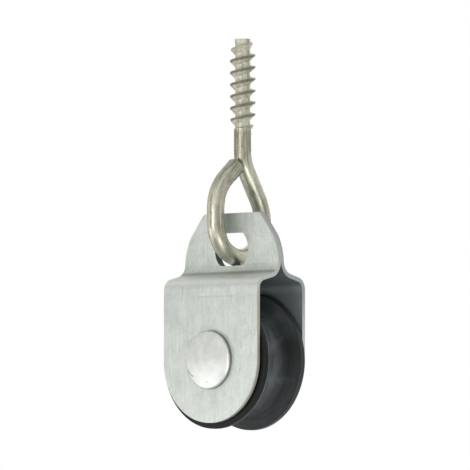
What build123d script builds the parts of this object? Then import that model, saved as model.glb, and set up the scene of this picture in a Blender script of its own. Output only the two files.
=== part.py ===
from build123d import *
import math
import os

# Eye screw pulley: a small wheel between two stamped cheeks, hung from the bent eye of
# a wood screw. Lengths are in millimetres, angles in degrees, +Z is up.
# The origin is on the screw's axis, where its thread begins: the surface of the wood
# that the screw is driven into. The front of the pulley faces -Y.

# Wheel: a black moulded sheave with a deep round groove for the rope.
sheave_d = 32.0
sheave_w = 14.0              # over the two flanges
groove_r = 4.0               # round bottom of the groove
groove_depth = 5.7
groove_half_angle = 30.0     # each flank of the groove, from the wheel's plane
hub_d = 11.0
hub_proud = 0.15             # hub stands out past the flanges, on each side
web_recess = 1.6             # depth of the ring-shaped pocket in each side
rim_wall = 3.4               # pocket's outer edge, in from the flange's edge
rim_bevel = 0.25             # broken corners of the rim and its pocket

# Axle rivet: big low head in front, shouldered shank, peened end behind.
axle_d = 5.0
tenon_d = 4.0
head_d = 13.7
head_h = 1.6
head_edge = 1.05
peen_d = 8.0
peen_h = 1.3
peen_edge = 0.4

# Fits and gaps.
running_fit = 0.05           # wheel's bore round the axle, on the radius
rivet_fit = 0.02             # cheek's hole round the rivet, on the radius
cheek_gap = 0.25             # hub to each cheek
joggle_gap = 0.5             # top of the wheel to the start of the cheek's slope
wire_gap = 0.08              # wire's lowest point above the lower edge of the tab's hole
end_gap = 0.2                # cut end of the wire to the shank

# Cheeks: two equal stampings, flat together at the tab and joggled out round the wheel.
plate_t = 1.0
flange_show = 1.35           # wheel's flange stands out past the cheek's round end
upper_bend_r = 3.0           # inside of the bend under the tab
lower_bend_r = 1.9           # inside of the cheek's shoulder
slope_angle = 76.0           # sloped part of the joggle, from the upright
tab_h = 11.65                # flat of the tab, above the upper bend
tab_top_w = 17.4
tab_corner_in = 1.8          # blunt corner of the tab, in from the cheek's side
tab_corner_down = 5.4        # the same corner, down from the tab's top
side_curve_down = 0.9        # start of the side's long curve, below the tab's flat
tab_top_round = 0.9
tab_corner_round = 3.0
hole_w = 10.4                # the round hole for the eye, cut flat above and below
hole_h = 8.0
hole_top_margin = 4.55       # metal between the hole's flat top and the tab's top
hole_top_round = 0.7         # corners at the ends of the hole's upper flat
hole_low_round = 2.4         # the same below, where the wire lies

# Screw eye: one wire, threaded at one end and bent into a pear-shaped eye.
wire_d = 4.2
thread_d = 6.0
root_d = 3.6
thread_pitch = 2.77
thread_len = 21.0
thread_turn = 0.25           # the whole ridge stands this much higher than at angle 0
tooth_low = 1.4              # foot of the tooth, below the middle of its crest
tooth_high = 0.42            # foot of the tooth, above it
tooth_top = 0.28             # width of the crest
tooth_sunk = 0.2             # foot of the tooth, under the root's surface
tip_len = 3.2                # tapered last turn at the blunt tip
tip_d = 3.9                  # thread at the very tip
runout_len = 2.4             # thread grows to its full height over this length
runout_d = 4.7               # thread where it begins on the shank
shank_len = 5.75             # plain straight shank below the thread
shank_bend_r = 7.0
rear_lean = 31.7             # rear leg of the eye, from the upright
rear_shoulder_r = 10.0
front_shoulder_r = 9.5
front_lean = 50.0            # front leg, from the upright, where it comes back to the shank
eye_w = 16.4                 # centre to centre of the two legs
shank_off = 1.25             # shank's axis, behind the middle of the eye
rear_side_len = 0.3          # straight side of the eye above its round bottom, behind
front_side_len = 2.95        # straight side of the eye above its round bottom, in front

# Where the eye lies in the block, as the photographed one does.
eye_back = 1.7               # middle of the eye, behind the middle of the tab
eye_left = 0.0               # eye's plane, to the left of the block's middle

# Sizes that follow from the ones above.
wire_r = wire_d / 2
sheave_r = sheave_d / 2
groove_bottom_r = sheave_r - groove_depth
hub_w = sheave_w + 2 * hub_proud
cheek_inner = hub_w / 2 + cheek_gap       # inner face of each cheek, from the middle
cheek_r = sheave_r - flange_show          # half width and round end of the cheek
bends_r = upper_bend_r + lower_bend_r + plate_t      # both bends' mid radii together
slope = math.radians(slope_angle)
slope_len = (cheek_inner - bends_r * (1 - math.cos(slope))) / math.sin(slope)
joggle_bottom = sheave_r + joggle_gap     # heights above the axle from here on
joggle_top = joggle_bottom + bends_r * math.sin(slope) + slope_len * math.cos(slope)
tab_top = joggle_top + tab_h
hole_top = tab_top - hole_top_margin
hole_bottom = hole_top - hole_h
eye_r = eye_w / 2
eye_round_z = hole_bottom + wire_gap + wire_r + eye_r     # centre of the eye's round bottom


def rear_leg_sizes():
    """Return the rear leg's straight length and the height where its side begins to lean."""
    lean = math.radians(rear_lean)
    reach = eye_r - shank_off - (shank_bend_r + rear_shoulder_r) * (1 - math.cos(lean))
    straight = reach / math.sin(lean)
    rise = (rear_side_len + (shank_bend_r + rear_shoulder_r) * math.sin(lean)
            + straight * math.cos(lean))
    return straight, rise


rear_straight, rear_rise = rear_leg_sizes()
shank_bottom = eye_round_z + rear_rise
thread_start = shank_bottom + shank_len

# The block's middle and the axle, seen from the origin on the screw's axis.
block_x = eye_left
block_y = -eye_back - shank_off
axle_z = -thread_start
block_place = Location((block_x, block_y, axle_z))
eye_place = Location((0, -shank_off, axle_z))

# Everything below is drawn with the axle at the origin and its axis along Y.


def polar(radius, angle):
    """Return a point at a distance and an angle from the origin."""
    return radius * math.cos(math.radians(angle)), radius * math.sin(math.radians(angle))


def revolve_about_y(outline):
    """Turn an outline, drawn with X outward and Y along the axle, about the axle."""
    return revolve(outline, axis=Axis.Y)


def make_sheave():
    """Grooved wheel: half a section, mirrored, then turned about the axle."""
    bore_r = axle_d / 2 + running_fit
    half_w = sheave_w / 2
    groove_centre = groove_bottom_r + groove_r
    # Where the round bottom meets the sloped flank, and where the flank meets the rim.
    flank = math.radians(groove_half_angle)
    low = (groove_centre - groove_r * math.sin(flank), groove_r * math.cos(flank))
    high = (sheave_r, low[1] + (sheave_r - low[0]) * math.tan(flank))
    bottom = (groove_bottom_r, 0)
    halfway = (groove_centre - polar(groove_r, (90 + groove_half_angle) / 2)[1],
               polar(groove_r, (90 + groove_half_angle) / 2)[0])
    groove = ThreePointArc(bottom, halfway, low)
    side = Polyline(low, high, (sheave_r, half_w), (sheave_r - rim_wall, half_w),
                    (sheave_r - rim_wall, half_w - web_recess),
                    (hub_d / 2, half_w - web_recess), (hub_d / 2, hub_w / 2),
                    (bore_r, hub_w / 2), (bore_r, 0), bottom)
    half_section = make_face(Curve() + [groove, side])
    rim = [v for v in half_section.vertices()
           if abs(v.X - sheave_r) < 1e-6 or abs(v.X - sheave_r + rim_wall) < 1e-6]
    half_section = chamfer(rim, rim_bevel)
    section = half_section + mirror(half_section, about=Plane.XZ)
    return revolve_about_y(section)


def dome_arc(rim, top):
    """Return a round cap's outline, from its rim to its top on the axis."""
    rise, out = top[1] - rim[1], rim[0]
    ball_r = (out ** 2 + rise ** 2) / (2 * abs(rise))
    drop = ball_r - math.sqrt(ball_r ** 2 - (out / 2) ** 2)
    return ThreePointArc(rim, (out / 2, top[1] - math.copysign(drop, rise)), top)


def make_axle_rivet():
    """One shouldered rivet: domed head, shank, shoulder, tenon and peened head."""
    front = -cheek_inner - plate_t
    rear = cheek_inner + plate_t
    head_rim, head_top = (head_d / 2, front - head_edge), (0, front - head_h)
    peen_rim, peen_top = (peen_d / 2, rear + peen_edge), (0, rear + peen_h)
    body = Polyline(head_rim, (head_d / 2, front), (axle_d / 2, front),
                    (axle_d / 2, cheek_inner), (tenon_d / 2, cheek_inner),
                    (tenon_d / 2, rear), (peen_d / 2, rear), peen_rim)
    outline = [dome_arc(head_rim, head_top), body, dome_arc(peen_rim, peen_top),
               Line(peen_top, head_top)]
    return revolve_about_y(make_face(Curve() + outline))


def joggle_section():
    """Side view of one plate: tab, upper bend, slope, lower bend and cheek."""
    tab = Line((plate_t / 2, tab_top), (plate_t / 2, joggle_top))
    upper = JernArc(tab @ 1, tab % 1, upper_bend_r + plate_t / 2, slope_angle)
    run = Line(upper @ 1, upper @ 1 + (upper % 1) * slope_len)
    lower = JernArc(run @ 1, run % 1, lower_bend_r + plate_t / 2, -slope_angle)
    cheek = Line(lower @ 1, lower @ 1 + (0, -joggle_bottom - cheek_r))
    middle = Wire([tab, upper, run, lower, cheek])
    return make_face(offset(middle, plate_t / 2, kind=Kind.INTERSECTION))


def cheek_outline():
    """Front view of one plate, drawn for the right half and mirrored."""
    side_top = joggle_top - side_curve_down
    corner = (cheek_r - tab_corner_in, tab_top - tab_corner_down)
    arc_end = (0, -cheek_r)
    round_end = ThreePointArc(arc_end, polar(cheek_r, -45), (cheek_r, 0))
    side = Line((cheek_r, 0), (cheek_r, side_top))
    curve = TangentArc((cheek_r, side_top), corner, tangent=(0, 1))
    top = Polyline(corner, (tab_top_w / 2, tab_top), (0, tab_top), arc_end)
    half = make_face(Curve() + [round_end, side, curve, top])
    blunt = [v for v in half.vertices() if (Vector(v) - Vector(*corner)).length < 1e-6]
    half = fillet(blunt, tab_corner_round)
    tips = [v for v in half.vertices()
            if (Vector(v) - Vector(tab_top_w / 2, tab_top)).length < 1e-6]
    half = fillet(tips, tab_top_round)
    return half + mirror(half, about=Plane.YZ)


def eye_hole():
    """Round hole with flats above and below, for the wire."""
    band = Pos(0, (hole_top + hole_bottom) / 2) * Rectangle(hole_w * 2, hole_h)
    disc = Pos(0, (hole_top + hole_bottom) / 2) * Circle(hole_w / 2)
    hole = disc & band
    middle = (hole_top + hole_bottom) / 2
    hole = fillet([v for v in hole.vertices() if v.Y > middle], hole_top_round)
    ends = [v for v in hole.vertices() if abs(v.Y - hole_bottom) < 1e-6]
    return fillet(ends, hole_low_round)


def make_cheek(rivet_d):
    """One stamped plate behind the block's middle plane, with its two holes."""
    half_depth = cheek_inner + plate_t
    side_view = extrude(Plane.YZ * joggle_section(), cheek_r * 2, both=True)
    front_view = Plane.XZ * (cheek_outline() - eye_hole() - Circle(rivet_d / 2 + rivet_fit))
    return side_view & extrude(front_view, half_depth * 2, both=True)


def wire_path():
    """Centre of the bent wire, from the thread down, round the eye and up to its cut end."""
    shank = Line((shank_off, thread_start), (shank_off, shank_bottom))
    bend = JernArc(shank @ 1, (0, -1), shank_bend_r, rear_lean)
    rear = Line(bend @ 1, bend @ 1 + (bend % 1) * rear_straight)
    rear_shoulder = JernArc(rear @ 1, rear % 1, rear_shoulder_r, -rear_lean)
    rear_side = Line(rear_shoulder @ 1, rear_shoulder @ 1 + (0, -rear_side_len))
    bottom = JernArc(rear_side @ 1, (0, -1), eye_r, -180)
    side = Line(bottom @ 1, bottom @ 1 + (0, front_side_len))
    front_shoulder = JernArc(side @ 1, (0, 1), front_shoulder_r, -front_lean)
    heading = front_shoulder % 1
    front = Line(front_shoulder @ 1, front_shoulder @ 1 + heading * front_leg_len(
        front_shoulder @ 1, rear @ 0))
    return [shank, bend, rear, rear_shoulder, rear_side, bottom, side, front_shoulder, front]


def front_leg_len(start, on_rear_leg):
    """Length that brings the cut end's lower corner to end_gap from the rear leg's side."""
    lean, head = math.radians(rear_lean), math.radians(front_lean)
    across = Vector(math.cos(lean), math.sin(lean))      # square to the rear leg
    along = Vector(math.sin(head), math.cos(head))       # the front leg's own direction
    corner = Vector(math.cos(head), -math.sin(head)) * wire_r
    room = (on_rear_leg - start - corner).dot(across) - wire_r - end_gap
    return room / along.dot(across)


def make_thread():
    """Coarse wood thread: a ridge swept along a helix on its root, trimmed at both ends."""
    root_r, top_r = root_d / 2, thread_d / 2
    end = thread_len + thread_pitch
    root = Plane.XZ * make_face(Polyline(
        (0, -0.5), (root_r, -0.5), (root_r, end), (0, end), close=True))
    tooth = Plane.XZ * make_face(Polyline(
        (root_r - tooth_sunk, -tooth_low), (top_r, -tooth_top / 2), (top_r, tooth_top / 2),
        (root_r - tooth_sunk, tooth_high), close=True))
    helix = Helix(thread_pitch, end + thread_pitch, root_r)
    ridge = Pos(0, 0, thread_turn - thread_pitch) * sweep(tooth, path=helix, is_frenet=True)
    taper = Plane.XZ * make_face(Polyline(
        (0, 0), (runout_d / 2, 0), (top_r, runout_len), (top_r, thread_len - tip_len),
        (tip_d / 2, thread_len), (0, thread_len), close=True))
    return (revolve(root, axis=Axis.Z) + ridge) & revolve(taper, axis=Axis.Z)


def make_screw_eye():
    """The bent wire with its thread, drawn in the eye's plane with the axle's height at 0."""
    path = wire_path()
    wire = Plane.YZ * Wire(path)
    section = Plane(origin=wire @ 0, z_dir=wire % 0) * Circle(wire_r)
    swept = sweep(section, path=wire)
    print("wire volume / section times length:",
          round(swept.volume / (math.pi * wire_r ** 2 * wire.length), 5))
    return swept + Pos(0, shank_off, thread_start) * make_thread()


def main():
    os.makedirs("parts", exist_ok=True)
    rear = make_cheek(tenon_d)
    front = mirror(make_cheek(axle_d), about=Plane.XZ)
    parts = {
        "screw_eye": eye_place * make_screw_eye(),
        "front_cheek": block_place * front,
        "rear_cheek": block_place * rear,
        "axle_rivet": block_place * make_axle_rivet(),
        "sheave": block_place * make_sheave(),
    }
    for name, shape in parts.items():
        solids = shape.solids()
        piece = solids[0] if len(solids) == 1 else Compound(solids)
        export_step(piece, f"parts/{name}.step")
        print(name, len(solids), "solid", round(piece.volume, 1), "mm3")


main()
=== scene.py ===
# %% [markdown]
# # Eye screw pulley
# A grooved nylon wheel turns between two cheeks of zinc-plated sheet, and the block hangs
# from a wood screw with an eye. The frame holds the exact solids of all five pieces. They
# could be shown as they are, but real pieces have soft edges and a finish, so each is made
# again here and dressed. Lengths are in millimetres, and `mm` turns them into metres.

# %% Load the frame
from functools import reduce
from math import asin, cos, degrees, radians, sin, sqrt, tan

import bmesh
import bpy
from mathutils import Matrix, Vector


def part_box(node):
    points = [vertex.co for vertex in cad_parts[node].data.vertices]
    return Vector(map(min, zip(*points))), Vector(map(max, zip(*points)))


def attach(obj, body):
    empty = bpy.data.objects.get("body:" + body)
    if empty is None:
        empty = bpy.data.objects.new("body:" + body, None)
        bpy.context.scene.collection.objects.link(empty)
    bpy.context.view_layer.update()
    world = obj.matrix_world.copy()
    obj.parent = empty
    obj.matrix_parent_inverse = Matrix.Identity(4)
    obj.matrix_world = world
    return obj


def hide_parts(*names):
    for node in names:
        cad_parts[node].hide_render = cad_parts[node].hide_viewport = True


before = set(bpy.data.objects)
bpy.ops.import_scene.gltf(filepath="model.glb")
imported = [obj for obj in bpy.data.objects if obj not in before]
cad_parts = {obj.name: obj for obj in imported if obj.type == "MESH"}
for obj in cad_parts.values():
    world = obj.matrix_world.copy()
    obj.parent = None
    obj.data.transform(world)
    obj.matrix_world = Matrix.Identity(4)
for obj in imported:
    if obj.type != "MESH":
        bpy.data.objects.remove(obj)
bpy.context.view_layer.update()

mm = 0.001
print("solids in the frame:", sorted(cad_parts))

# %% [markdown]
# What the frame already holds needs no second measure. The wheel's box gives the place of
# the axle, and every other piece is set from it. The front of the pulley faces -Y, the
# axle lies along Y, and the screw's axis is the Z axis.

# %% Find the axle
wheel_low, wheel_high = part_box("sheave")
axle = (wheel_low + wheel_high) / 2
rim_r = (wheel_high.x - wheel_low.x) / 2 / mm
hub_half = (wheel_high.y - wheel_low.y) / 2 / mm
print("axle at", [round(v / mm, 2) for v in axle], "mm, wheel radius", round(rim_r, 2), "mm")


# %% [markdown]
# An outline is drawn like a path for a pen: straight runs and arcs, one after the other.
# It could be a Bezier curve, but then its sizes would hide in the handles. Here an arc is
# one vertex spun round a centre, so its radius and angle are plain numbers. The pen works
# in the plane of X and Z, and each stroke returns the pen's new vertex.

# %% A pen for outlines
def pen_start(bm, x, z):
    return bm.verts.new((x * mm, 0, z * mm))


def pen_line(bm, vert, x, z):
    made = bmesh.ops.extrude_vert_indiv(bm, verts=[vert])
    made["verts"][0].co = (x * mm, 0, z * mm)
    return made["verts"][0]


def pen_arc(bm, vert, centre, angle, steps):
    """Spin the pen round a centre; a positive angle turns from +X towards +Z."""
    made = bmesh.ops.spin(bm, geom=[vert], cent=(centre[0] * mm, 0, centre[1] * mm),
                          axis=(0, -1, 0), angle=radians(angle), steps=steps)
    return [g for g in made["geom_last"] if isinstance(g, bmesh.types.BMVert)][0]


print("pen: start, line and arc")


# %% [markdown]
# Doubles are merged before the normals are worked out, because spin and mirror can leave
# both. Edges that turn sharply are rounded a little: no pressed or moulded part has a
# perfect corner, and it is the small round edges that catch the light. A Bevel modifier
# could do that too, but the operator takes just the edges that it is given.

# %% Helpers for finishing a shape
weld = 0.001                           # vertices closer than this are one vertex


def tidy(bm):
    bmesh.ops.remove_doubles(bm, verts=bm.verts, dist=weld * mm)
    bmesh.ops.recalc_face_normals(bm, faces=bm.faces)


def sharp_edges(bm, least):
    return [e for e in bm.edges if len(e.link_faces) == 2
            and abs(e.calc_face_angle(0)) > radians(least)]


def soften(bm, edges, radius, segments=3):
    bmesh.ops.bevel(bm, geom=edges, affect="EDGES", offset=radius * mm, segments=segments,
                    profile=0.5, material=-1, clamp_overlap=True)


def finish_piece(bm, name, place=None, sharp=35):
    """Turn the bmesh into an object at the origin, smooth but for its true corners."""
    if place is not None:
        bmesh.ops.translate(bm, verts=bm.verts, vec=place)
    mesh = bpy.data.meshes.new(name)
    bm.to_mesh(mesh)
    bm.free()
    mesh.shade_smooth()
    mesh.set_sharp_from_angle(angle=radians(sharp))
    piece = bpy.data.objects.new(name, mesh)
    bpy.context.scene.collection.objects.link(piece)
    corners = [v.co for v in mesh.vertices]
    size = [max(c[i] for c in corners) - min(c[i] for c in corners) for i in range(3)]
    print(name, len(mesh.polygons), "faces, size", [round(s / mm, 2) for s in size], "mm")
    return piece


print("vertices merge within", weld, "mm")


# %% [markdown]
# ## The cheeks
# A cheek is cut from 1 mm sheet, punched, and pressed into a step called a joggle, so that
# it clears the wheel while the two tabs touch. It could be a solid block with its inside
# taken out, but then the sheet's even thickness would be hard to keep. So it is made as in
# the workshop: a flat blank first, then the bends, and the thickness last.

# %% Sizes of the cheek
sheet, hub_play = 1.0, 0.25            # thickness, and room beside the wheel's hub
cheek_inner = hub_half + hub_play      # inner face, from the middle of the block
front_face = cheek_inner + sheet
cheek_r = rim_r - 1.35                 # the wheel shows below the cheek
upper_in, lower_in = 3.0, 1.9          # inner radii of the joggle's two bends
slope = radians(76)                    # how steep the sheet is between them
bends = upper_in + lower_in + sheet
slope_run = (cheek_inner - bends * (1 - cos(slope))) / sin(slope)
joggle_low = rim_r + 0.5
joggle_high = joggle_low + bends * sin(slope) + slope_run * cos(slope)
tab_w, tab_top = 17.4, joggle_high + 11.65
hole_r, hole_top = 5.2, tab_top - 4.55
hole_low = hole_top - 8.0
hole_mid = (hole_top + hole_low) / 2
pin_r, tenon_r = 2.5, 2.0              # the rivet's shank, and its thin rear end
print("joggle from", round(joggle_low, 2), "to", round(joggle_high, 2), "mm above the axle")


# %% [markdown]
# The blank is drawn as half an outline round half the sheet, with the holes on its inner
# side, and then it is mirrored, so that both sides are alike. Its corners are rounded by
# bevelling their vertices: where the outline turns by an angle, the bevel starts at the
# radius times the tangent of half that angle.

# %% Draw the half blank
def draw_half(bm, rivet_r):
    """Draw half the blank as one face; returns its corners: tip, blunt, and two in the hole."""
    side_top = joggle_high - 0.9       # up to here the side is straight
    blunt_x, blunt_z = cheek_r - 1.8, tab_top - 5.4
    rise, fall = blunt_z - side_top, cheek_r - blunt_x
    curve_r = (rise ** 2 + fall ** 2) / (2 * fall)
    curve_turn = degrees(asin(rise / curve_r))
    flat_half = (hole_top - hole_low) / 2
    flat_x = sqrt(hole_r ** 2 - flat_half ** 2)
    hole_turn = degrees(2 * asin(flat_half / hole_r))

    first = pen_start(bm, 0, -cheek_r)
    v = pen_arc(bm, first, (0, 0), 90, 40)
    v = pen_line(bm, v, cheek_r, side_top)
    v = blunt = pen_arc(bm, v, (cheek_r - curve_r, side_top), curve_turn, 16)
    v = tip = pen_line(bm, v, tab_w / 2, tab_top)
    v = pen_line(bm, v, 0, tab_top)
    v = pen_line(bm, v, 0, hole_top)
    v = hole_a = pen_line(bm, v, flat_x, hole_top)
    v = hole_b = pen_arc(bm, v, (0, hole_mid), -hole_turn, 18)
    v = pen_line(bm, v, 0, hole_low)
    v = pen_line(bm, v, 0, rivet_r)
    v = pen_arc(bm, v, (0, 0), -180, 24)
    bm.edges.new((v, first))
    bmesh.ops.contextual_create(bm, geom=bm.edges)
    return tip, blunt, hole_a, hole_b


def cheek_blank(rivet_r):
    """The flat blank, with a hole for the rivet and one for the eye."""
    bm = bmesh.new()
    corner_radii = 0.9, 3.0, 0.7, 2.4
    corner_turns = 53, 11, 50, 50      # in degrees
    for vert, radius, turn in zip(draw_half(bm, rivet_r), corner_radii, corner_turns):
        bmesh.ops.bevel(bm, geom=[vert], affect="VERTICES", segments=6, profile=0.5, material=-1,
                        offset=radius * tan(radians(turn / 2)) * mm, clamp_overlap=True)
    bmesh.ops.mirror(bm, geom=bm.verts[:] + bm.edges[:] + bm.faces[:], axis="X",
                     merge_dist=weld * mm)
    tidy(bm)
    return bm


print("blank:", round(2 * cheek_r, 2), "mm wide,", round(cheek_r + tab_top, 2), "mm high")


# %% [markdown]
# The joggle is two bends with a slope between them. A function says how far out the
# sheet's inner face lies at each height. The blank is cut into strips where it bends, and
# every vertex moves out by what the function says: a lattice could bend it as well, but
# it would not keep the radii. The thickness goes outwards, so the tabs still touch.

# %% Bend the blank
def joggle_depth(z):
    """How far the inner face stands out from the block's middle, at a height."""
    outer_r = upper_in + sheet
    down, up = joggle_high - z, z - joggle_low
    if down <= 0:
        return 0
    if up <= 0:
        return cheek_inner
    if down < outer_r * sin(slope):
        return outer_r - sqrt(outer_r ** 2 - down ** 2)
    if up < lower_in * sin(slope):
        return cheek_inner - lower_in + sqrt(lower_in ** 2 - up ** 2)
    return outer_r * (1 - cos(slope)) + (down - outer_r * sin(slope)) * tan(slope)


def press_joggle(bm, side):
    """Bend the flat blank and give it its thickness; the side is -1 front, +1 rear."""
    strips = 14
    cuts = [joggle_high - (upper_in + sheet) * sin(slope * i / strips) for i in range(strips + 1)]
    cuts += [joggle_low + lower_in * sin(slope * i / strips) for i in range(strips + 1)]
    for z in cuts:
        bmesh.ops.bisect_plane(bm, geom=bm.verts[:] + bm.edges[:] + bm.faces[:], plane_no=(0, 0, 1),
                               plane_co=(0, 0, z * mm), dist=weld / 2 * mm)
    for v in bm.verts:
        v.co.y = side * joggle_depth(v.co.z / mm) * mm
    bmesh.ops.recalc_face_normals(bm, faces=bm.faces)
    if sum(f.normal.y * f.calc_area() for f in bm.faces) * side > 0:
        bmesh.ops.reverse_faces(bm, faces=bm.faces)
    bmesh.ops.solidify(bm, geom=bm.faces[:], thickness=sheet * mm)
    bmesh.ops.recalc_face_normals(bm, faces=bm.faces)


print("joggle: the sheet steps out by", round(joggle_depth(0), 2), "mm")


# %% [markdown]
# The press rolls the edges a little, and the hole's edge more, where the wire has worn it.
# Then an attribute on the faces says which are cut edges, which get painted shade in the
# hole, and which look inwards. Three materials could tell them apart too, but with marks the
# patterns of one finish run on across the borders, and a face can be half marked, as the
# rolled edge of the hole is.

# %% Round and mark the cheek
hole_place = Vector((0, 0, hole_mid * mm))
edge_round, hole_round = 0.14, 0.30
cheek_marks = "cut_edge", "painted_hole_shade", "inner_face"


def round_cheek(bm):
    rims = sharp_edges(bm, 60)
    at_hole = [e for e in rims if (e.verts[0].co - hole_place).xz.length < (hole_r + 0.5) * mm
               and max(abs(v.co.y) for v in e.verts) > 0.5 * sheet * mm]
    soften(bm, [e for e in rims if e not in at_hole], edge_round)
    soften(bm, [e for e in at_hole if e.is_valid], hole_round, segments=4)


def mark_cheek(bm, side):
    edge, painted_hole_shade, inner = [bm.faces.layers.float.new(name) for name in cheek_marks]
    for face in bm.faces:
        middle = face.calc_center_median()
        from_hole = (middle - hole_place).xz.length / mm - hole_r
        on_wall = from_hole < 0.05
        low_lip = from_hole < 0.5 and face.normal.z > 0.25 and middle.z < (hole_low + 0.5) * mm
        rolled_lip = from_hole < 0.5 and 0.2 < abs(face.normal.y) < 0.97
        dark_wall = on_wall and face.normal.x > 0.3
        face[edge] = 1.0 if abs(face.normal.y) < 0.2 and not on_wall else 0.0
        # inner faces below the joggle, which get painted shade
        face[inner] = 1.0 if face.normal.y * side < -0.2 and middle.z < joggle_high * mm else 0.0
        # painted shade: full on the hole's left wall and low lip, half on its rolled lip
        face[painted_hole_shade] = 1.0 if dark_wall or low_lip else 0.5 if rolled_lip else 0.0


print("marks on the cheeks:", ", ".join(cheek_marks))


# %% [markdown]
# The rear cheek is the same stamping turned over. Only its rivet hole is smaller, because
# the rivet steps down there, so that its shoulder keeps the cheeks apart.

# %% Make both cheeks
def make_cheek(name, rivet_r, side):
    bm = cheek_blank(rivet_r)
    press_joggle(bm, side)
    round_cheek(bm)
    mark_cheek(bm, side)
    return finish_piece(bm, name, place=axle)


rivet_play = 0.02                      # between the rivet and its holes
front_cheek = make_cheek("front_cheek_plate", pin_r + rivet_play, -1)
rear_cheek = make_cheek("rear_cheek_plate", tenon_r + rivet_play, 1)
for piece, node in ((front_cheek, "front_cheek"), (rear_cheek, "rear_cheek")):
    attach(piece, "block")
    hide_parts(node)


# %% [markdown]
# ## Round parts
# The rivet and the wheel were turned and moulded round. They could be put together from
# cylinders, but one profile that is drawn and spun about the axle holds all their steps
# at once, with no seams between them. In the drawing X is the radius and Z runs along the
# axle towards the front; at the end the spun shape is turned so that its front faces -Y.

# %% Helpers for round parts
def spin_profile(bm, steps):
    bmesh.ops.spin(bm, geom=bm.verts[:] + bm.edges[:], axis=(0, 0, 1), angle=radians(360),
                   steps=steps, use_merge=True)
    tidy(bm)
    bmesh.ops.rotate(bm, verts=bm.verts, matrix=Matrix.Rotation(radians(90), 3, "X"))


def dome(radius, rise):
    """Ball radius and half angle of a shallow dome."""
    ball = (radius ** 2 + rise ** 2) / (2 * rise)
    return ball, degrees(asin(radius / ball))


print("helpers: spun profile and shallow dome")

# %% [markdown]
# The rivet is a steel pin with a wide, flat-sided and slightly domed head. Its shank is
# the axle. The thin end goes through the rear cheek and is hammered into a small button.
# A dome is an arc of a big ball in the profile: the ball follows from the dome's rise.

# %% Axle rivet
head_r, head_h, head_side = 6.85, 1.6, 1.05            # radius, height, flat side
button_r, button_h, button_side = 4.0, 1.29, 0.4

bm = bmesh.new()
ball, half = dome(head_r, head_h - head_side)
v = pen_start(bm, 0, front_face + head_h)
v = pen_arc(bm, v, (0, front_face + head_h - ball), -half, 16)
v = pen_line(bm, v, head_r, front_face)
v = pen_line(bm, v, pin_r, front_face)
v = pen_line(bm, v, pin_r, -cheek_inner)
v = pen_line(bm, v, tenon_r, -cheek_inner)
v = pen_line(bm, v, tenon_r, -front_face)
v = pen_line(bm, v, button_r, -front_face)
v = pen_line(bm, v, button_r, -front_face - button_side)
ball, half = dome(button_r, button_h - button_side)
pen_arc(bm, v, (0, -front_face - button_h + ball), -half, 10)
spin_profile(bm, steps=96)
print("rivet spun:", len(bm.faces), "faces, head", 2 * head_r, "mm wide")

# %% [markdown]
# The rim of the head is well rounded, the other edges hardly. The more a face looks
# sideways, and not along the axle, the more it is marked as side wall, which gets painted
# shade. The marks go down in steps over the rounded rim.

# %% Round the rivet's edges
rim_round, button_round = 0.42, 0.12
rims = sharp_edges(bm, 40)
head_rim = -(front_face + head_side - 0.01) * mm
front_rim = [e for e in rims if all(v.co.y < head_rim for v in e.verts)]
soften(bm, [e for e in rims if e not in front_rim], button_round)
soften(bm, front_rim, rim_round, segments=5)
wall = bm.faces.layers.float.new("side_wall")
for face in bm.faces:
    facing = abs(face.normal.y)        # 1 where the face looks along the axle
    # side wall marks, which carry painted shade
    face[wall] = 1.0 if facing < 0.3 else 0.6 if facing < 0.6 else 0.2 if facing < 0.85 else 0.0
axle_rivet = finish_piece(bm, "domed_axle_rivet", place=axle)
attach(axle_rivet, "block")
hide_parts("axle_rivet")

# %% [markdown]
# The wheel is moulded in one shot of black nylon: two flanges, a round-bottomed groove
# for the rope between them, and a shallow ring-shaped pocket in each side that saves
# plastic and leaves a hub round the bore. Only half its profile is drawn, from the
# groove's bottom over the rim to the bore, and mirrored before it is spun.

# %% Grooved wheel
flange_half, wheel_r = 7.0, rim_r - 0.01               # a hair inside the solid
groove_r, groove_depth, groove_angle = 4.0, 5.7, 30.0
rim_w, pocket, hub_r, bore_r = 3.4, 1.6, 5.5, 2.55
flange_round = 0.3
groove_mid = rim_r - groove_depth + groove_r
flank_r = groove_mid - groove_r * sin(radians(groove_angle))
flank_z = groove_r * cos(radians(groove_angle))
rim_z = flank_z + (wheel_r - flank_r) * tan(radians(groove_angle))

bm = bmesh.new()
v = pen_start(bm, groove_mid - groove_r, 0)
v = pen_arc(bm, v, (groove_mid, 0), -(90 - groove_angle), 14)
v = pen_line(bm, v, wheel_r, rim_z)
v = pen_line(bm, v, wheel_r, flange_half)
v = pen_line(bm, v, wheel_r - rim_w, flange_half)
v = pen_line(bm, v, wheel_r - rim_w, flange_half - pocket)
v = pen_line(bm, v, hub_r, flange_half - pocket)
v = pen_line(bm, v, hub_r, hub_half)
v = pen_line(bm, v, bore_r, hub_half)
v = pen_line(bm, v, bore_r, 0)
bmesh.ops.mirror(bm, geom=bm.verts[:] + bm.edges[:], axis="Z", merge_dist=weld * mm)
spin_profile(bm, steps=144)
soften(bm, sharp_edges(bm, 25), flange_round, segments=4)
print("wheel spun:", len(bm.faces), "faces, groove", groove_depth, "mm deep")
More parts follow.
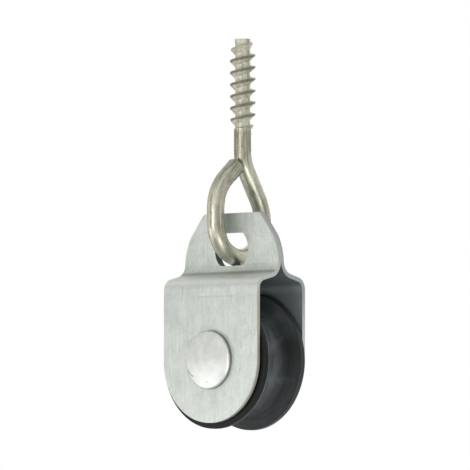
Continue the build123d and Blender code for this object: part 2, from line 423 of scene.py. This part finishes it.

# %% [markdown]
# The rope rubs the groove. The front edge of the rim is marked pale for wear with a painted
# highlight, and the rear rim a little. All are marked on the faces, by how far these lie
# from the axle and along it.

# %% Mark the wheel
wear_and_highlight, rubbed = bm.faces.layers.float.new("wear_and_highlight"), bm.faces.layers.float.new("rubbed")
for face in bm.faces:
    middle = face.calc_center_median() / mm
    out, along = middle.xz.length, middle.y
    front_edge = -rim_z - 0.22 < along < 0 and out > rim_r - 0.32
    rear_land = rim_z - 0.1 < along < flange_half - 0.1 and out > rim_r - 0.15
    # wear with a painted highlight on the front rim edge, less on the rear land
    face[wear_and_highlight] = 1.0 if front_edge else 0.15 if rear_land else 0.0
    face[rubbed] = 1.0 if out < rim_r - 0.3 and abs(along) < rim_z else 0.0
wheel = finish_piece(bm, "grooved_wheel", place=axle)
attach(wheel, "wheel")
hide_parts("sheave")

# %% [markdown]
# ## The screw eye
# The real one is a length of steel wire: one end is rolled into a coarse thread, the rest
# is bent round a former. A curve with a round bevel would give the bends, but not a clean
# joint with the thread. So it is made as the real one is. A ring of edges is fed forward
# and bent round, step by step, and every ring also remembers where it lay on the straight
# wire. The finish uses that memory, so that its draw lines follow the bends.

# %% A wire bender
wire_r = 2.098                         # a hair under the solid's 2.1, to stay inside its box
wire_sides = 48
across_eye = Vector((1, 0, 0))
degrees_a_step = 4


def ring_of(made):
    verts = [g for g in made if isinstance(g, bmesh.types.BMVert)]
    edges = [g for g in made if isinstance(g, bmesh.types.BMEdge)
             and all(v in verts for v in g.verts)]
    return verts, edges


def wire_mark(wire, verts):
    for vert in verts:
        vert[wire["unbent"]].z = wire["length"]


def feed(wire, length):
    """Push the wire straight on."""
    made = bmesh.ops.extrude_edge_only(wire["bm"], edges=wire["ring"])["geom"]
    verts, wire["ring"] = ring_of(made)
    bmesh.ops.translate(wire["bm"], verts=verts, vec=wire["heading"] * length * mm)
    wire["at"] += wire["heading"] * length * mm
    wire["length"] += length
    wire_mark(wire, verts)


def bend(wire, radius, angle):
    """Bend the wire in the eye's plane; a positive angle turns it from -Z towards +Y."""
    side = across_eye.cross(wire["heading"]) * (1 if angle > 0 else -1)
    centre = wire["at"] + side * radius * mm
    steps = max(2, round(abs(angle) / degrees_a_step))
    for _ in range(steps):
        verts = list({v for e in wire["ring"] for v in e.verts})
        made = bmesh.ops.spin(wire["bm"], geom=verts + wire["ring"], cent=centre,
                              axis=across_eye, angle=radians(angle / steps), steps=1)
        verts, wire["ring"] = ring_of(made["geom_last"])
        wire["length"] += radians(abs(angle) / steps) * radius
        wire_mark(wire, verts)
    turn = Matrix.Rotation(radians(angle), 3, "X")
    wire["at"] = centre + turn @ (wire["at"] - centre)
    wire["heading"] = turn @ wire["heading"]


print("wire:", 2 * wire_r, "mm thick, with", wire_sides, "sides")

# %% [markdown]
# The wire starts at the foot of the thread and heads down. The eye's bends follow from a
# few sizes. Its legs are 16.4 mm apart, the rear leg leans 32 degrees into the shank, and
# the front leg leans 50 degrees.

# %% Bend the eye
eye_w, shank_off = 16.4, 1.25          # leg to leg, and the shank's axis off their middle
shank_len, rear_side, front_side = 5.75, 0.3, 2.95
shank_bend, rear_bend, front_bend = 7.0, 10.0, 9.5
rear_lean, front_lean = 31.7, 50.0
lean, head = radians(rear_lean), radians(front_lean)
reach = eye_w / 2 - shank_off - (shank_bend + rear_bend) * (1 - cos(lean))

bm = bmesh.new()
unbent = bm.verts.layers.float_vector.new("unbent")
for vert in bmesh.ops.create_circle(bm, segments=wire_sides, radius=wire_r * mm)["verts"]:
    vert[unbent] = vert.co / mm
shank_top = bm.edges[:]
wire = {"bm": bm, "unbent": unbent, "ring": shank_top, "at": Vector((0, 0, 0)),
        "heading": Vector((0, 0, -1)), "length": 0.0}
feed(wire, shank_len)
bend(wire, shank_bend, rear_lean)
on_rear_leg = wire["at"].copy()
feed(wire, reach / sin(lean))
bend(wire, rear_bend, -rear_lean)
feed(wire, rear_side)
bend(wire, eye_w / 2, -180)
feed(wire, front_side)
bend(wire, front_bend, -front_lean)
print("wire bent:", round(wire["length"], 1), "mm of it so far")

# %% [markdown]
# The front leg stops just short of the rear one, where the cutter nipped it off. How far
# it may go is worked out from the corner of its end, so that the gap stays 0.2 mm if the
# leans change. The end is closed with a face, and its edge is broken a little.

# %% Cut the end
cut_gap, cut_round = 0.2, 0.16
square = Vector((0, cos(lean), sin(lean)))
cut_corner = Vector((0, cos(head), -sin(head))) * wire_r
room = ((on_rear_leg - wire["at"]) / mm - cut_corner).dot(square) - wire_r - cut_gap
feed(wire, room / wire["heading"].dot(square))
bmesh.ops.contextual_create(bm, geom=wire["ring"])
soften(bm, wire["ring"], cut_round, segments=2)
print("wire cut:", round(wire["length"], 1), "mm of it below the thread")

# %% [markdown]
# One pitch of the thread is drawn as a tooth: a long lower flank, a narrow crest and a
# steep upper flank. Spun round the screw while it climbs one pitch a turn, each turn's
# upper end lands on the next one's lower end, and the doubles are merged. The thread
# starts two turns too low and ends too high, and is trimmed in the next step.

# %% Roll the thread
pitch, thread_r, root_r, thread_len = 2.77, 3.0, 1.8, 21.0
first_turn = 0.25                      # height of the first crest
tooth = [(root_r, -1.42), (root_r + 0.06, -1.24), (thread_r - 0.07, -0.20), (thread_r, -0.13),
         (thread_r, 0.11), (thread_r - 0.05, 0.16), (root_r + 0.06, 0.36), (root_r, 0.44),
         (root_r, pitch - 1.42)]       # radius and height of each corner
turn_steps, turns = 48, int(thread_len / pitch) + 4

wire_verts = set(bm.verts)
low = first_turn - 2 * pitch
v = pen_start(bm, tooth[0][0], low + tooth[0][1])
tooth_verts = [v]
for r, z in tooth[1:]:
    v = pen_line(bm, v, r, low + z)
    tooth_verts.append(v)
tooth_edges = list({e for v in tooth_verts for e in v.link_edges})
bmesh.ops.spin(bm, geom=tooth_verts + tooth_edges, axis=(0, 0, 1), angle=radians(360 * turns),
               steps=turn_steps * turns, dvec=(0, 0, pitch * mm / turn_steps))
bmesh.ops.remove_doubles(bm, verts=[v for v in bm.verts if v not in wire_verts],
                         dist=2 * weld * mm)
print("thread rolled:", turns, "turns of", pitch, "mm")


# %% [markdown]
# A real thread grows out of the shank and dies away at the blunt tip, so each vertex is
# pulled in to the widest radius that its height allows. The ends are then cut flat, the
# lower one is bridged to the shank's first ring, and the tip gets a face. Its vertices
# remember their place too, with the thread above the start of the wire.

# %% Trim the thread and join it
tip_len, tip_r, runout_len, runout_r = 3.2, 1.95, 2.4, 2.35


def thread_parts():
    verts = [v for v in bm.verts if v not in wire_verts]
    edges = [e for e in bm.edges if e.verts[0] not in wire_verts and e.verts[1] not in wire_verts]
    faces = [f for f in bm.faces if all(v not in wire_verts for v in f.verts)]
    return verts, verts + edges + faces


for v in thread_parts()[0]:
    z, radius = v.co.z / mm, v.co.xy.length
    most = min(thread_r, runout_r + max(z, 0) / runout_len * (thread_r - runout_r),
               tip_r + max(thread_len - z, 0) / tip_len * (thread_r - tip_r))
    v.co.xy *= min(radius, most * mm) / radius
cut_rings = []
for z, way in ((0, -1), (thread_len, 1)):
    cut = bmesh.ops.bisect_plane(bm, geom=thread_parts()[1], plane_co=(0, 0, z * mm),
                                 plane_no=(0, 0, way), clear_outer=True, dist=weld / 2 * mm)
    cut_rings.append([g for g in cut["geom_cut"] if isinstance(g, bmesh.types.BMEdge)])
for v in thread_parts()[0]:
    v[unbent] = (v.co.x / mm, v.co.y / mm, -v.co.z / mm)
bmesh.ops.bridge_loops(bm, edges=cut_rings[0] + shank_top)
bmesh.ops.contextual_create(bm, geom=cut_rings[1])
bmesh.ops.recalc_face_normals(bm, faces=bm.faces)
print("open edges on the screw eye:", len([e for e in bm.edges if len(e.link_faces) != 2]))
screw_eye = finish_piece(bm, "bent_screw_eye", sharp=38)
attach(screw_eye, "eye")
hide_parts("screw_eye")


# %% [markdown]
# ## Finishes
# Every finish is a Principled shader with a few noise patterns. Pictures could be painted
# for them instead, but a pattern that is worked out has no seams and is sharp from close
# by. These helpers add a node, and wire a value into a socket: the value is a number, a
# colour, or another node's output. The numbers that a finish is made with are its average
# look, and patterns take over from them where they are wired in.

# %% Helpers for finishes
def new_finish(name, colour, metallic, roughness):
    finish = bpy.data.materials.new(name)
    finish.use_nodes = True
    shader = finish.node_tree.nodes["Principled BSDF"]
    shader.inputs["Base Color"].default_value = (*colour, 1)
    shader.inputs["Metallic"].default_value = metallic
    shader.inputs["Roughness"].default_value = roughness
    return finish, shader


def wire_in(finish, value, socket):
    if isinstance(value, bpy.types.NodeSocket):
        finish.node_tree.links.new(value, socket)
    else:
        socket.default_value = value


def add(finish, kind, inputs=None, **settings):
    node = finish.node_tree.nodes.new("ShaderNode" + kind)
    for key, value in settings.items():
        setattr(node, key, value)
    for key, value in (inputs or {}).items():
        wire_in(finish, value, node.inputs[key])
    return node


def dress(finish, *pieces):
    for piece in pieces:
        piece.data.materials.append(finish)
    print("finish:", finish.name, "on", ", ".join(piece.name for piece in pieces))


print("helpers: new_finish, wire_in, add, dress")


# %% [markdown]
# Patterns are worked out with the same few sums. `calc` does one, `chain` joins any number
# of values by the same one, and `weigh` adds up patterns that count for more or for less.
# `between` turns part of a pattern's range into another range.

# %% Sums with patterns
def calc(finish, operation, *values):
    node = add(finish, "Math", operation=operation)
    for value, socket in zip(values, node.inputs):
        wire_in(finish, value, socket)
    return node.outputs[0]


def chain(finish, operation, *values):
    return reduce(lambda first, second: calc(finish, operation, first, second), values)


def weigh(finish, *pairs):
    """The sum of patterns, each times its weight."""
    return reduce(lambda total, pair: calc(finish, "MULTIPLY_ADD", *pair, total),
                  reversed(pairs), 0.0)


def between(finish, value, low, high, to_low=0.0, to_high=1.0):
    return add(finish, "MapRange", {"Value": value, "From Min": low, "From Max": high,
                                    "To Min": to_low, "To Max": to_high}).outputs[0]


print("sums: calc, chain, weigh, between")


# %% [markdown]
# `grain` is noise that can be stretched along one direction, for rolling lines and draw
# lines. `blend` mixes two colours by a pattern, and `tint` does so only in part. `marked`
# reads what was marked on the faces of a piece.

# %% Patterns and colours
def grain(finish, coords, per_m, detail=3.0, spread=0.5):
    """Noise with a given number of waves per metre along X, Y and Z."""
    place = add(finish, "Mapping", {"Vector": coords, "Scale": per_m})
    noise = add(finish, "TexNoise", {"Vector": place.outputs[0], "Scale": 1.0,
                                     "Detail": detail, "Roughness": spread})
    return noise.outputs[0]


def blend(finish, factor, first, second):
    node = add(finish, "Mix", data_type="RGBA")
    for socket, value in ((0, factor), (6, first), (7, second)):
        value = (*value, 1) if isinstance(value, tuple) else value
        wire_in(finish, value, node.inputs[socket])
    return node.outputs[2]


def tint(finish, colour, pattern, amount, towards):
    return blend(finish, calc(finish, "MULTIPLY", pattern, amount), colour, towards)


def marked(finish, name):
    return add(finish, "Attribute", attribute_name=name).outputs["Fac"]


def bump(finish, shader, height, depth):
    """Raise the surface by a pattern; depth is in millimetres."""
    node = add(finish, "Bump", {"Height": height, "Distance": depth * mm, "Strength": 1.0})
    wire_in(finish, node.outputs[0], shader.inputs["Normal"])


print("patterns: grain, blend, tint, marked, bump")


# %% [markdown]
# Marks of wear, and painted light and shade, sit at a known place on a piece. So places are
# measured from the axle, with Object coordinates: these stay with the piece when the pulley
# moves. Sizes are given in millimetres here too.

# %% Places on a piece
def from_axle(finish):
    coords = add(finish, "TexCoord").outputs["Object"]
    return add(finish, "Mapping", {"Vector": coords, "Location": -axle}).outputs[0]


def along_xyz(finish, place):
    return add(finish, "SeparateXYZ", {"Vector": place}).outputs


def off_point(finish, place, x, z):
    """Distance from a line along the axle that passes through x and z."""
    flat = add(finish, "VectorMath", {0: place, 1: (1, 0, 1)}, operation="MULTIPLY").outputs[0]
    away = add(finish, "VectorMath", {0: flat, 1: (x * mm, 0, z * mm)}, operation="DISTANCE")
    return away.outputs["Value"]


def spot(finish, place, x, z, radius, soft):
    """1 inside a small round spot on a front face, 0 outside."""
    return between(finish, off_point(finish, place, x, z), (radius + soft) * mm, radius * mm)


def line_at(finish, value, level, half_width, soft):
    """1 where a length is close to a level, 0 elsewhere."""
    off = calc(finish, "ABSOLUTE", calc(finish, "SUBTRACT", value, level * mm))
    return between(finish, off, (half_width + soft) * mm, half_width * mm)


print("places: from_axle, along_xyz, off_point, spot, line_at")

# %% [markdown]
# Zinc-plated sheet is a dull, slightly green-grey metal. Rolling leaves fine lines along
# the strip, here along Z, the plating clouds it, and handling leaves thin scratches. One
# noise could not do all that, so each mark has its own, stretched the way that it runs.

# %% Zinc sheet
zinc, shader = new_finish("zinc_sheet", (0.58, 0.62, 0.57), 0.28, 0.50)
place = from_axle(zinc)
across, depth, height = along_xyz(zinc, place)
rolling = grain(zinc, place, (1500, 1500, 150), detail=3)
clouds = grain(zinc, place, (330, 330, 260), detail=7, spread=0.68)
speckle = grain(zinc, place, (2100, 2100, 1700), detail=2)
scratches = between(zinc, grain(zinc, place, (1900, 1900, 260), detail=1), 0.66, 0.72)
cross_marks = between(zinc, grain(zinc, place, (230, 230, 2300), detail=1), 0.67, 0.73)
bright_lines = between(zinc, grain(zinc, place, (2300, 2300, 240), detail=1), 0.32, 0.27)
tone = weigh(zinc, (rolling, 0.22), (clouds, 0.53), (speckle, 0.25))
colour = blend(zinc, between(zinc, tone, 0.40, 0.60), (0.505, 0.54, 0.495), (0.635, 0.68, 0.63))
colour = tint(zinc, colour, scratches, 0.50, (0.35, 0.38, 0.35))
colour = tint(zinc, colour, cross_marks, 0.35, (0.40, 0.43, 0.39))
colour = tint(zinc, colour, bright_lines, 0.30, (0.80, 0.84, 0.79))
print("zinc: rolling lines, clouds, speckle and three kinds of scratches")

# %% [markdown]
# Round the press's bend, light and shade are painted on: a painted highlight on the
# shoulder, and painted shade in the hollow under the tab. Below the bend the sheet is a
# little darker in a band, and a faint line shows where the die gripped. Painted shadow of
# the eye's wire lies on the tab beside it, above the hole. Each lies at a known height above
# the axle, so it is a band or a ramp there.

# %% Press marks and painted light and shade
darker_band = line_at(zinc, height, 11.5, 3.0, 3.0)
# painted highlight on the shoulder
painted_shoulder_highlight = line_at(zinc, height, 18.9, 0.6, 0.8)
# painted shade in the hollow under the tab
painted_hollow_shade = line_at(zinc, height, 20.6, 0.10, 0.40)
die_line = chain(zinc, "MULTIPLY", line_at(zinc, height, 14.8, 0.05, 0.25),
                 between(zinc, across, -8 * mm, -4 * mm), between(zinc, clouds, 0.42, 0.60))
# painted shadow of the eye's wire on the tab, above the hole
painted_wire_shadow = chain(zinc, "MULTIPLY", between(zinc, across, 3.9 * mm, -0.8 * mm),
                 between(zinc, across, -5.4 * mm, -3.4 * mm),
                 between(zinc, height, (hole_mid - 1) * mm, (hole_top + 0.5) * mm))
colour = tint(zinc, colour, darker_band, 0.20, (0.42, 0.45, 0.41))
colour = tint(zinc, colour, painted_shoulder_highlight, 0.60, (0.84, 0.88, 0.82))
colour = tint(zinc, colour, painted_hollow_shade, 0.60, (0.20, 0.22, 0.17))
colour = tint(zinc, colour, die_line, 0.32, (0.25, 0.28, 0.26))
colour = tint(zinc, colour, painted_wire_shadow, 0.80, (0.15, 0.175, 0.135))
# the rub mark that this prints is the wire's painted shadow
print("zinc: dull band, burnished shoulder, crease, die line and rub mark")

# %% [markdown]
# Some faces differ from the rest. The blank's cut edges have thin plating: warm at the
# front, and cooler at the back, where painted shade darkens them towards the top. The inner
# faces are painted dark as shade, darker lower down, with a painted light band below the
# joggle. The hole's left wall and low lip are painted dark as shade. The marks on the mesh
# say which faces these are, and the height fades one colour into the next.

# %% Edges, inner faces and hole
cut_edge, painted_hole_shade, inner_face = [marked(zinc, name) for name in cheek_marks]
behind = between(zinc, depth, -1 * mm, 1 * mm)
# the back edge: painted shade, darker towards the top
rear_edge_shaded = blend(zinc, between(zinc, height, 4 * mm, 15 * mm),
                  (0.64, 0.68, 0.70), (0.37, 0.40, 0.41))
front_edge = blend(zinc, between(zinc, height, 14 * mm, 17 * mm),
                   (0.46, 0.44, 0.37), (0.55, 0.58, 0.51))
# inner faces: painted shade, with a painted light band at 16.5 mm
inner_shade_colour = blend(zinc, between(zinc, height, 6 * mm, 13 * mm),
                     (0.105, 0.13, 0.14), (0.205, 0.23, 0.23))
inner_shade_colour = blend(zinc, between(zinc, height, 17.2 * mm, 17.9 * mm),
                     inner_shade_colour, (0.120, 0.145, 0.145))
painted_light_band = line_at(zinc, height, 16.5, 0.2, 0.8)
inner_shade_colour = blend(zinc, calc(zinc, "MULTIPLY", painted_light_band, clouds),
                     inner_shade_colour, (0.33, 0.34, 0.34))
colour = blend(zinc, cut_edge, colour, blend(zinc, behind, front_edge, rear_edge_shaded))
colour = blend(zinc, inner_face, colour, inner_shade_colour)
# the hole's painted shade
colour = blend(zinc, painted_hole_shade, colour, (0.046, 0.062, 0.068))
wire_in(zinc, colour, shader.inputs["Base Color"])
wire_in(zinc, between(zinc, tone, 0.4, 0.6, 0.42, 0.56), shader.inputs["Roughness"])
bump(zinc, shader, weigh(zinc, (tone, 1.0), (scratches, -0.5)), 0.02)
dress(zinc, front_cheek, rear_cheek)

# %% [markdown]
# The rivet's head was turned and then plated, so it is brighter and smoother than the
# sheet. Faint rings run round it: noise that reads only the distance from the axle. It has
# a few small dents and a curved scrape, each at its own place.

# %% Rivet head and its damage
steel, shader = new_finish("rivet_steel", (0.63, 0.64, 0.61), 0.55, 0.33)
place = from_axle(steel)
off_axle = off_point(steel, place, 0, 0)
rings = add(steel, "TexNoise", {"W": calc(steel, "MULTIPLY", off_axle, 1600), "Scale": 1.0,
                                "Detail": 2.0}, noise_dimensions="1D").outputs[0]
clouds = grain(steel, place, (420, 420, 420), detail=6, spread=0.6)
low_dent = spot(steel, place, 0.0, -5.2, 0.10, 0.14)
side_dent = calc(steel, "MULTIPLY", spot(steel, place, 3.0, -0.7, 0.12, 0.2), 0.25)
middle_dent = calc(steel, "MULTIPLY", spot(steel, place, -0.3, 0.1, 0.2, 0.3), 0.18)
scrape = calc(steel, "MULTIPLY", spot(steel, place, -5.2, -3.0, 0.9, 0.6),
              line_at(steel, off_point(steel, place, -3.4, -1.2), 2.7, 0.08, 0.14))
damage = chain(steel, "MAXIMUM", low_dent, side_dent, middle_dent, scrape)
print("rivet: rings, clouds, three dents and a scrape")

# %% [markdown]
# A band below the middle of the head gets a painted highlight, while the side wall stays
# dull and gets painted shade, so that the head stands out from the cheek. Both only tint the
# colour, because a second material on the wall would show a hard border on the rounded rim.

# %% Rivet steel
# painted highlight band below the middle of the head
painted_highlight_band = line_at(steel, along_xyz(steel, place)["Z"], -2.3, 0.9, 1.7)
side_wall = marked(steel, "side_wall")
colour = blend(steel, between(steel, clouds, 0.35, 0.65), (0.56, 0.575, 0.545), (0.66, 0.67, 0.64))
colour = tint(steel, colour, painted_highlight_band, 0.24, (0.90, 0.91, 0.88))
colour = tint(steel, colour, damage, 0.70, (0.20, 0.20, 0.19))
# painted shade on the side wall
colour = tint(steel, colour, side_wall, 0.85, (0.15, 0.165, 0.15))
rough = weigh(steel, (side_wall, 0.25), (between(steel, clouds, 0.35, 0.65, 0.28, 0.38), 1.0))
wire_in(steel, colour, shader.inputs["Base Color"])
wire_in(steel, rough, shader.inputs["Roughness"])
bump(steel, shader, weigh(steel, (rings, 0.25), (damage, -1.0)), 0.02)
dress(steel, axle_rivet)

# %% [markdown]
# The screw eye is bright nickel-plated wire, warmer than the zinc. Its patterns read the
# `unbent` memory, in millimetres, so the long draw lines run round the eye with the wire.
# Object coordinates would cut straight across the bends. Along the wire, zero is the foot
# of the thread, and the thread itself is below zero.

# %% Drawn wire
nickel, shader = new_finish("eye_wire", (0.40, 0.39, 0.32), 0.88, 0.34)
memory = add(nickel, "Attribute", attribute_name="unbent").outputs["Vector"]
along = along_xyz(nickel, memory)["Z"]
draw_lines = grain(nickel, memory, (1.5, 1.5, 0.06), detail=4, spread=0.6)
fine_lines = grain(nickel, memory, (7, 7, 0.30), detail=3)
patches = grain(nickel, memory, (1.0, 1.0, 0.40), detail=5, spread=0.62)
speckle = grain(nickel, memory, (3.5, 3.5, 2.5), detail=3, spread=0.7)
pits = between(nickel, grain(nickel, memory, (4, 4, 3), detail=2), 0.62, 0.70)
print("wire: draw lines, fine lines, patches, speckle and pits")

# %% [markdown]
# The wire isn't the same all along. The shank is a little darker, the bottom of the eye is
# polished by the cheeks that hang on it, and the wire gets dull and speckled towards the
# cut end. The thread is rougher than the rest, and its crest is painted dark as shade. The
# memory gives the length along the wire and the distance from its middle, so the crest is a
# ramp of that distance, and all the others are ramps of the length.

# %% Eye wire
eye_bottom = 36.7                      # along the wire, at the lowest point of the eye
on_thread = between(nickel, along, 0.3, -0.6)
on_shank = calc(nickel, "MULTIPLY", between(nickel, along, 0.0, 1.0),
                between(nickel, along, 9.0, 6.0))
from_bottom = calc(nickel, "ABSOLUTE", calc(nickel, "SUBTRACT", along, eye_bottom))
polished = between(nickel, from_bottom, 9.0, 4.0)
dull_end = calc(nickel, "MULTIPLY", between(nickel, along, 54, 60),
                between(nickel, speckle, 0.35, 0.65, 0.0, 0.10))
tone = weigh(nickel, (draw_lines, 0.5), (patches, 0.3), (fine_lines, 0.2), (on_thread, 0.05),
             (on_shank, -0.10), (polished, 0.09), (dull_end, -1.0))
flat = add(nickel, "VectorMath", {0: memory, 1: (1, 1, 0)}, operation="MULTIPLY").outputs[0]
radius = add(nickel, "VectorMath", {0: flat}, operation="LENGTH").outputs["Value"]
# painted shade along the thread's crest
painted_crest_shade = calc(nickel, "MULTIPLY", on_thread,
             between(nickel, radius, thread_r - 0.40, thread_r - 0.12))
colour = blend(nickel, between(nickel, tone, 0.38, 0.62), (0.20, 0.195, 0.145), (0.62, 0.61, 0.50))
colour = tint(nickel, colour, pits, 0.45, (0.13, 0.125, 0.09))
colour = tint(nickel, colour, painted_crest_shade, 0.80, (0.12, 0.11, 0.085))
rough = weigh(nickel, (on_thread, 0.16), (between(nickel, patches, 0.3, 0.7, 0.22, 0.46), 1.0))
wire_in(nickel, colour, shader.inputs["Base Color"])
wire_in(nickel, rough, shader.inputs["Roughness"])
wire_in(nickel, between(nickel, on_thread, 0, 1, 0.88, 0.65), shader.inputs["Metallic"])
bump(nickel, shader, calc(nickel, "ADD", fine_lines, draw_lines), 0.03)
dress(nickel, screw_eye)

# %% [markdown]
# Black nylon is nearly black with a soft sheen, so it reflects less than the shader does
# by default. The rope and the mould leave faint lines round it. Their noise reads the
# direction from the axle and not an angle, so it has no seam where the angle starts.

# %% Moulded nylon
nylon, shader = new_finish("black_nylon", (0.016, 0.017, 0.017), 0.0, 0.42)
shader.inputs["Specular IOR Level"].default_value = 0.18
place = from_axle(nylon)
flat = add(nylon, "VectorMath", {0: place, 1: (1, 0, 1)}, operation="MULTIPLY").outputs[0]
direction = add(nylon, "VectorMath", {0: flat}, operation="NORMALIZE").outputs[0]
around = add(nylon, "VectorMath", {0: place, 1: (0, 900, 0), 2: direction},
             operation="MULTIPLY_ADD").outputs[0]
rub_lines = add(nylon, "TexNoise", {"Vector": around, "Scale": 2.6, "Detail": 4.0}).outputs[0]
haze = grain(nylon, place, (230, 230, 230), detail=5, spread=0.6)
glints = between(nylon, grain(nylon, place, (170, 170, 150), detail=4), 0.60, 0.72)
skin = grain(nylon, place, (4200, 4200, 4200), detail=2)
print("nylon: rub lines, haze, glints and skin")

# %% [markdown]
# Dust from the rope lies in the groove, and the rubbing streaks it, with painted glints.
# The groove is darker close to the rear rim and paler towards the front, and painted light
# makes it paler towards its top and its bottom. The front lip of the groove and the front
# edge of the rim are pale grey, for wear with a painted highlight. All this could be drawn
# in a picture, but as a sum of ramps, each along one direction, it can be changed in a moment.

# %% Black nylon
_, sideways, height = along_xyz(nylon, place)
rubbed, wear_and_highlight = marked(nylon, "rubbed"), marked(nylon, "wear_and_highlight")
off_rear = between(nylon, sideways, 4.0 * mm, 2.4 * mm, 0.07, 0.62)
to_front = between(nylon, sideways, -1.0 * mm, -5.0 * mm, 0.0, 0.38)
# painted light on the groove's bottom and top
painted_low_light = between(nylon, height, 2 * mm, -9 * mm, 0.0, 0.12)
painted_top_light = between(nylon, height, 4 * mm, 11 * mm, 0.0, 0.55)
dust_and_painted_light = chain(nylon, "ADD", off_rear, to_front, painted_low_light, painted_top_light)
streaks = between(nylon, calc(nylon, "ADD", rub_lines, haze), 0.7, 1.3, 0.55, 1.15)
off_axle = off_point(nylon, place, 0, 0)
# front lip of the groove: wear with a painted highlight
lip_wear_and_highlight = chain(nylon, "MULTIPLY", between(nylon, off_axle, (rim_r - 1.5) * mm, (rim_r - 0.6) * mm),
            rubbed, between(nylon, sideways, 0, -mm))
colour = blend(nylon, chain(nylon, "MULTIPLY", dust_and_painted_light, rubbed, streaks),
               (0.0060, 0.0067, 0.0070), (0.150, 0.170, 0.174))
colour = tint(nylon, colour, calc(nylon, "MULTIPLY", glints, rubbed), 0.35, (0.18, 0.20, 0.205))
colour = tint(nylon, colour, calc(nylon, "MAXIMUM", wear_and_highlight, lip_wear_and_highlight), 0.80, (0.32, 0.335, 0.35))
wire_in(nylon, colour, shader.inputs["Base Color"])
wire_in(nylon, between(nylon, haze, 0.35, 0.65, 0.38, 0.54), shader.inputs["Roughness"])
bump(nylon, shader, weigh(nylon, (rub_lines, 0.6), (skin, 1.0)), 0.008)
dress(nylon, wheel)

# %% [markdown]
# ## Studio
# The photograph was taken from far away, so the camera has a long lens and stands three
# metres off, 42 degrees to the pulley's right and very slightly below it. One millimetre
# at the axle is 4.28 pixels of the 470, and the camera aims so that the axle falls on the
# pixel where it lies in the photograph.

# %% Camera
distance, azimuth, elevation = 3.0, radians(42), radians(-2.97)
picture, pixel, axle_px = 470, mm / 4.28, (234.39, 361.17)
back = Vector((sin(azimuth) * cos(elevation), -cos(azimuth) * cos(elevation), sin(elevation)))
right = Vector((cos(azimuth), sin(azimuth), 0))
aim = (axle + right * (picture / 2 - axle_px[0]) * pixel
       + back.cross(right) * (axle_px[1] - picture / 2) * pixel)
lens = bpy.data.cameras.new("portrait_camera")
lens.sensor_width, lens.clip_end = 36, 20
lens.lens = lens.sensor_width * distance / (picture * pixel)
camera = bpy.data.objects.new("portrait_camera", lens)
camera.location = aim + back * distance
camera.rotation_euler = back.to_track_quat("Z", "Y").to_euler()
bpy.context.scene.collection.objects.link(camera)
bpy.context.scene.camera = camera
print("lens", round(lens.lens), "mm")

# %% [markdown]
# The background is white for the camera and in reflections, and a softer white for the
# light that it gives. It could be a white wall, but a wall would need more light on it
# than the pulley can take.

# %% White background
bpy.context.scene.view_settings.view_transform = "Standard"
sky_light = 0.37
world = bpy.data.worlds.new("white_studio")
world.use_nodes = True
bpy.context.scene.world = world
sky = world.node_tree.nodes["Background"]
rays = add(world, "LightPath").outputs
seen = chain(world, "MAXIMUM", rays["Is Camera Ray"], rays["Is Glossy Ray"],
             rays["Is Transmission Ray"])
sky.inputs["Color"].default_value = (1, 1, 1, 1)
wire_in(world, between(world, seen, 0, 1, sky_light, 1.0), sky.inputs["Strength"])
print("background: white to look at, and", sky_light, "as light")


# %% [markdown]
# One lamp stands in front, one low on the left and one low on the right, as in the photo,
# where the faces that look down are brighter than those that look up. They are broad, so
# that the shadow of the wire on the tab stays soft. A fourth one, behind, is there for
# whoever looks at the pulley from the back.

# %% Lamps
def soft_lamp(name, place, size, power):
    """A square lamp, in metres and watts, that looks at the middle of the pulley."""
    data = bpy.data.lights.new(name, "AREA")
    data.size, data.energy = size, power
    lamp = bpy.data.objects.new(name, data)
    lamp.location = place
    middle = Vector((0, 0, -0.03))
    lamp.rotation_euler = (lamp.location - middle).to_track_quat("Z", "Y").to_euler()
    bpy.context.scene.collection.objects.link(lamp)
    print(name, power, "W")


soft_lamp("front_lamp", (0.04, -0.70, -0.09), 0.26, 1.2)
soft_lamp("low_left_lamp", (-0.40, -0.45, -0.24), 0.22, 0.6)
soft_lamp("low_right_lamp", (0.30, -0.15, -0.28), 0.20, 0.6)
soft_lamp("back_lamp", (-0.25, 0.70, -0.06), 0.40, 1.6)

# %% [markdown]
# The floor is a plain pale sheet well below the pulley, which hangs from its screw. It
# glows a little, like a light table, and so fills the undersides with light.

# %% Floor
floor_half, floor_z = 3.0, -0.30       # in metres
floor_glow = 0.32
bm = bmesh.new()
bmesh.ops.create_grid(bm, x_segments=1, y_segments=1, size=floor_half)
floor = finish_piece(bm, "pale_floor", place=(0, 0, floor_z))
paper, shader = new_finish("pale_paper", (0.85, 0.85, 0.85), 0.0, 0.8)
shader.inputs["Emission Color"].default_value = (1, 1, 1, 1)
shader.inputs["Emission Strength"].default_value = floor_glow
dress(paper, floor)

# %% [markdown]

# %% Finish
print("the pieces are dressed and the studio is set")
